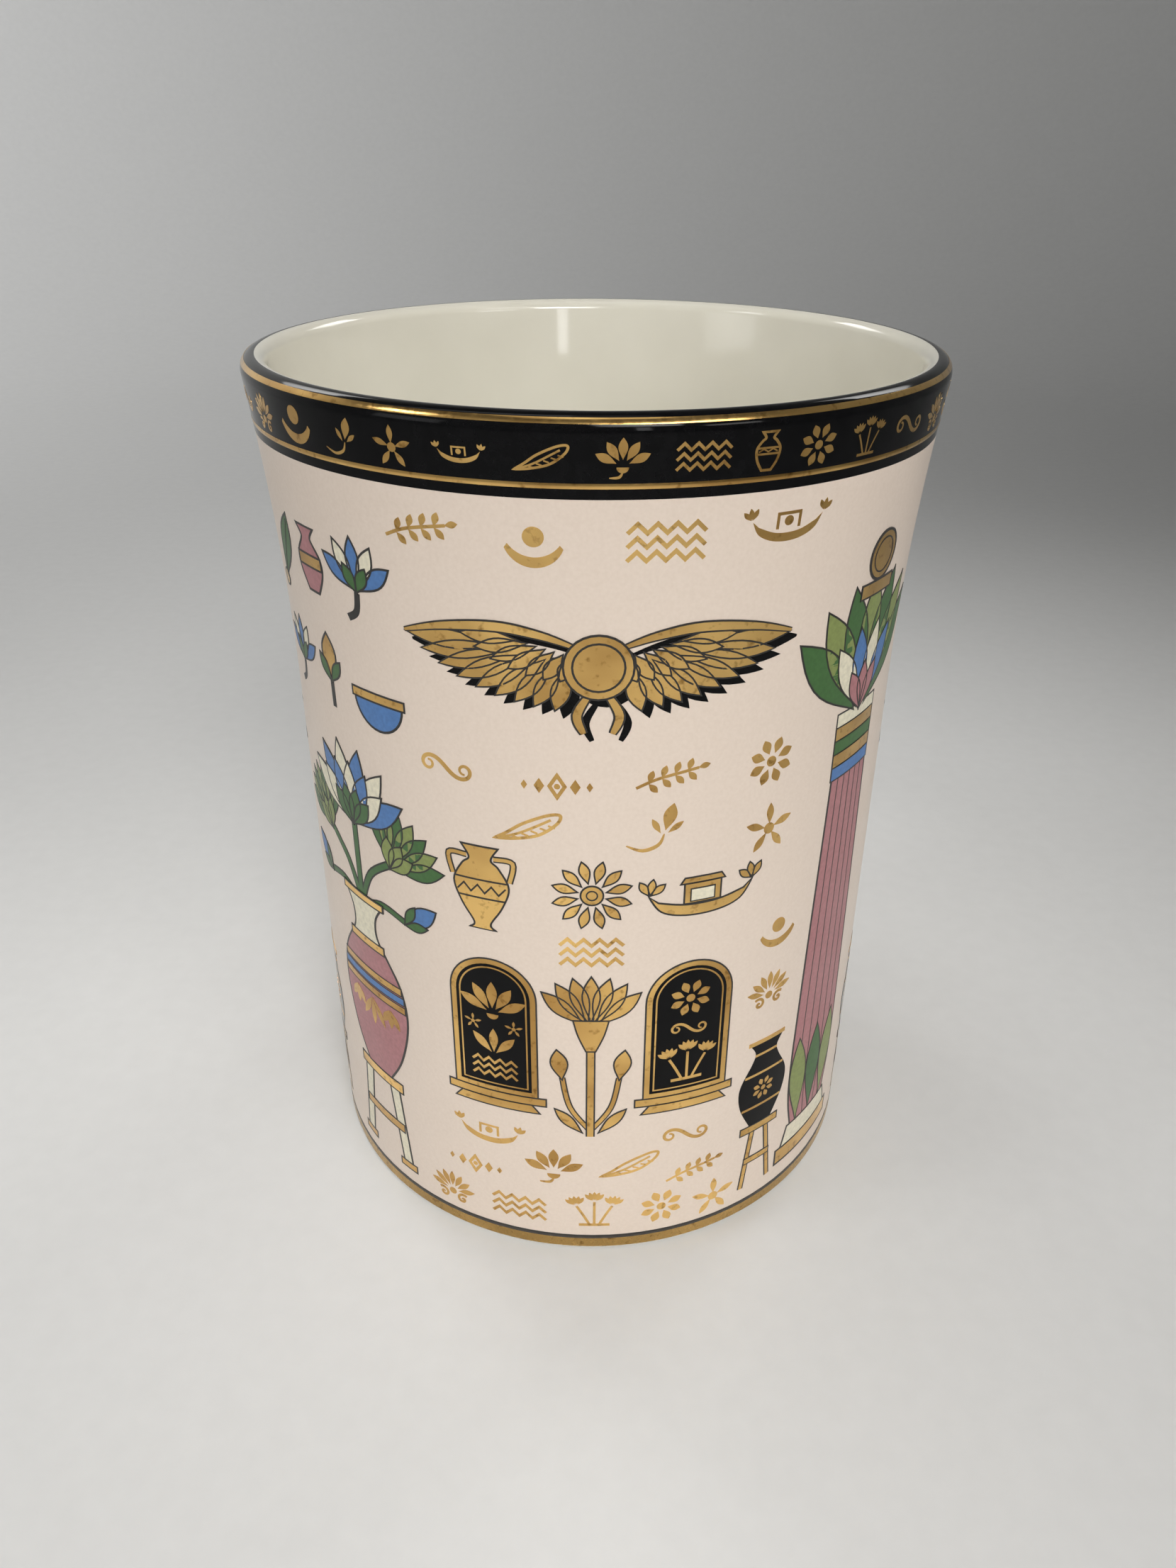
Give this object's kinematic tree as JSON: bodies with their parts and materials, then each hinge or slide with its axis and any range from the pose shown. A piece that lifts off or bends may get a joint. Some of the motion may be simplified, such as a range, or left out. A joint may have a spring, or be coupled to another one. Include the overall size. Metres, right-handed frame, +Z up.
{
  "type": "coffee cup",
  "caption": "Tall porcelain coffee cup with a flared lip and ear handle, ivory glaze inside, pale pink printed wall, black enamel rim band and gilt lines.",
  "frame": {"origin": "on the cup's axis, in the plane of the foot ring that it stands on", "axes": "+Z up along the cup's axis, -Y towards the decorated front, +Y towards the handle"},
  "size_m": [0.08, 0.1084, 0.108],
  "materials": {
    "porcelain": "satin",
    "handle_porcelain": "gloss",
    "ivory_glaze": "gloss",
    "pink_ground": "satin",
    "black_enamel": "gloss",
    "gilt": "polished",
    "dark_line": "satin"
  },
  "bodies": {
    "root": {"cup_body": "porcelain", "handle": "handle_porcelain", "inner_glaze": "ivory_glaze", "ground_coat": "pink_ground", "rim_band": "black_enamel", "rim_line_upper": "gilt", "rim_line_lower": "gilt", "base_line_dark": "dark_line", "base_line_gold": "gilt"}
  },
  "joints": []
}
